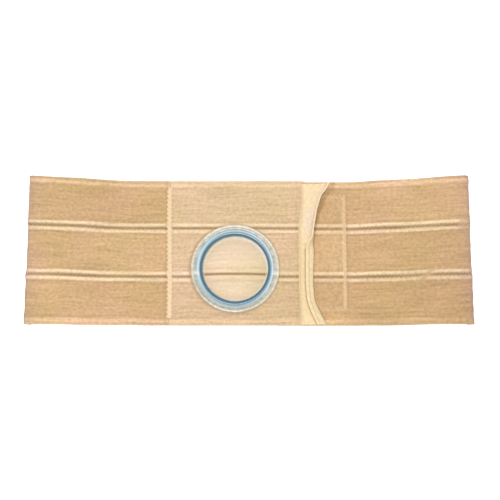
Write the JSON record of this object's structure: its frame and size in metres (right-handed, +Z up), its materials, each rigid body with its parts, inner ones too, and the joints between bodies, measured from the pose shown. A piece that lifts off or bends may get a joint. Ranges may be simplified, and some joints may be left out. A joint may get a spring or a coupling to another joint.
{
  "type": "ostomy support belt",
  "caption": "Wide elastic support belt lying closed, with a ringed pouch opening in its front panel and a hook-and-loop closure whose cloth end tab curls up.",
  "frame": {"origin": "middle of the belt's underside, on the surface that it lies on", "axes": "+X along the closed belt towards the closure, +Y across it towards its top edge, +Z up out of the front panel"},
  "size_m": [0.4516, 0.152, 0.0399],
  "materials": {
    "elastic_cloth": "matt woven elastic in tan, with paler selvage ribs",
    "panel_cloth": "firmer woven elastic in pale tan",
    "tape_cloth": "cream tape sewn down with a zigzag stitch",
    "tab_cloth": "cream cloth with a stitched hem",
    "pile_cloth": "fuzzy loop pile in tan",
    "hook_plastic": "hook fastener tape",
    "clear_plastic": "clear glossy plastic",
    "blue_plastic": "glossy moulded blue plastic"
  },
  "bodies": {
    "root": {"wrap_upper_band": "elastic_cloth", "wrap_middle_band": "elastic_cloth", "wrap_lower_band": "elastic_cloth", "panel_upper_band": "panel_cloth", "panel_middle_band": "panel_cloth", "panel_lower_band": "panel_cloth", "left_seam_tape": "tape_cloth", "end_tab": "tab_cloth", "landing_patch": "pile_cloth", "hook_strip": "hook_plastic", "ring_flange": "clear_plastic", "ring_rim": "blue_plastic"}
  },
  "joints": []
}
